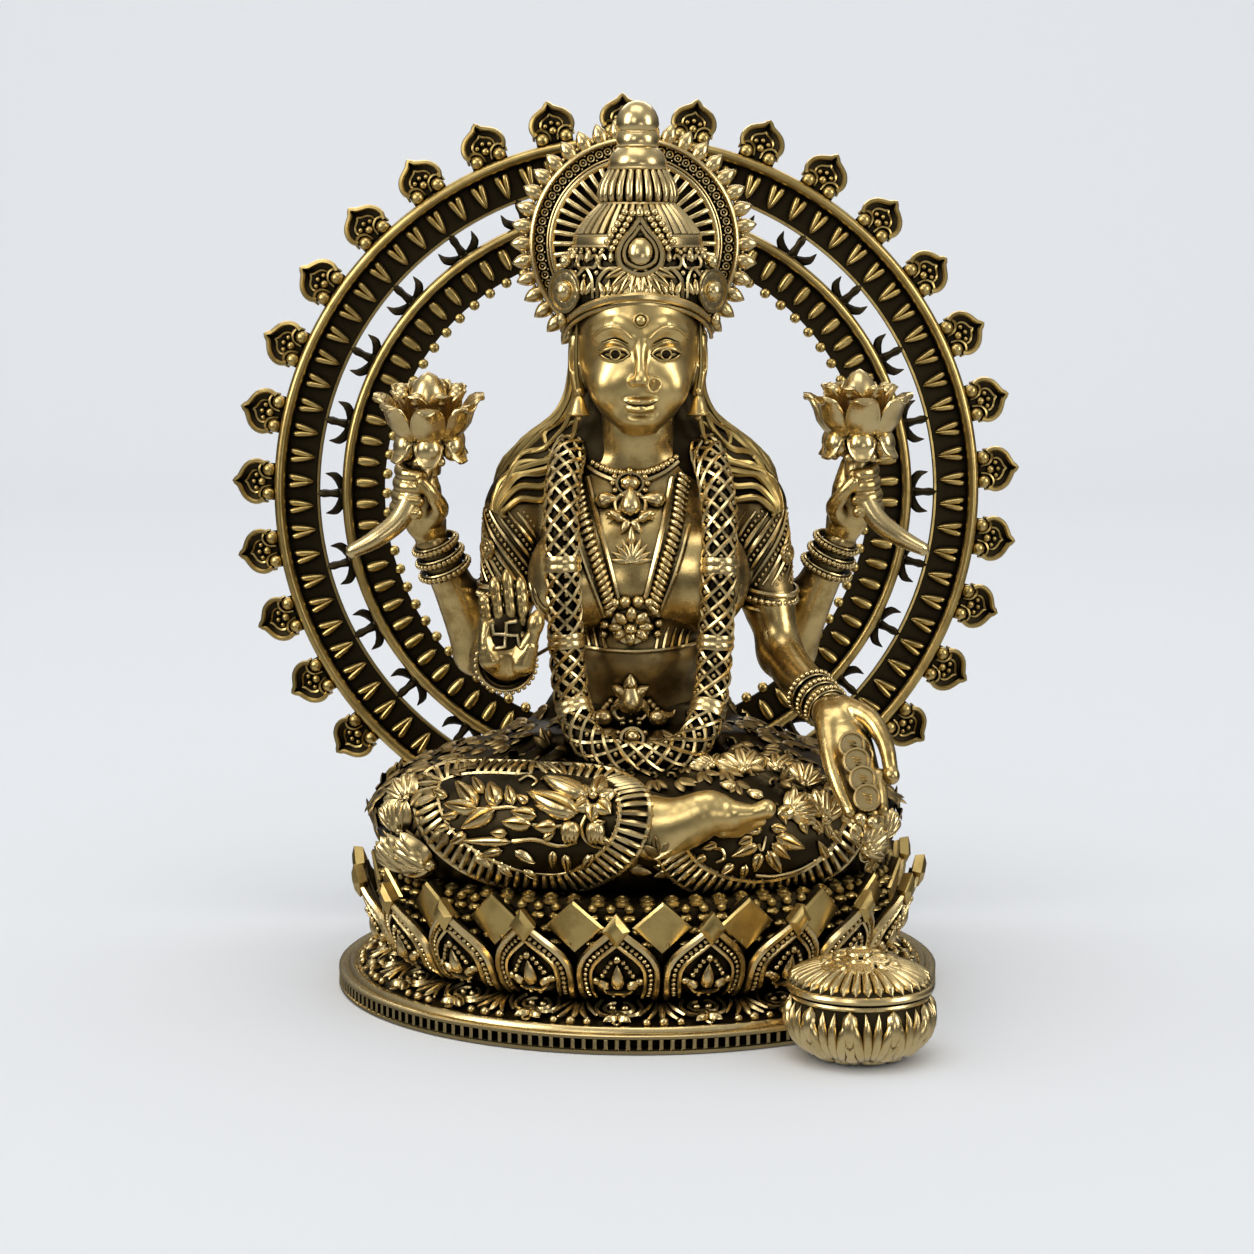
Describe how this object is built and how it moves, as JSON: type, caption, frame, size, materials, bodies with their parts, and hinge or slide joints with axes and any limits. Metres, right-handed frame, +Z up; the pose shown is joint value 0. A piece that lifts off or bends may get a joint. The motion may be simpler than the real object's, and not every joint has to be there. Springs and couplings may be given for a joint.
{
  "type": "seated goddess figure on lotus plinth",
  "caption": "Cast brass seated goddess with raised lotus flowers, on a round lotus plinth with an openwork ring behind, a halo and a lidded coin pot.",
  "frame": {"origin": "centre of the plinth's flat underside", "axes": "+Z up, the figure faces -Y, +X to the right of someone who looks at its face"},
  "size_m": [0.1969, 0.1577, 0.2075],
  "materials": {
    "figure_brass": "antique brass, polished high points over dark patina",
    "plinth_brass": "antique brass, polished high points over dark patina",
    "aureole_brass": "antique brass, dark patina with polished rails",
    "halo_brass": "antique brass, polished high points over dark patina",
    "pot_brass": "antique brass, brown patina"
  },
  "bodies": {
    "root": {"lakshmi_figure": "figure_brass", "lotus_plinth": "plinth_brass", "aureole": "aureole_brass", "head_halo": "halo_brass", "coin_pot": "pot_brass", "coin_pot_lid": "pot_brass"}
  },
  "joints": []
}
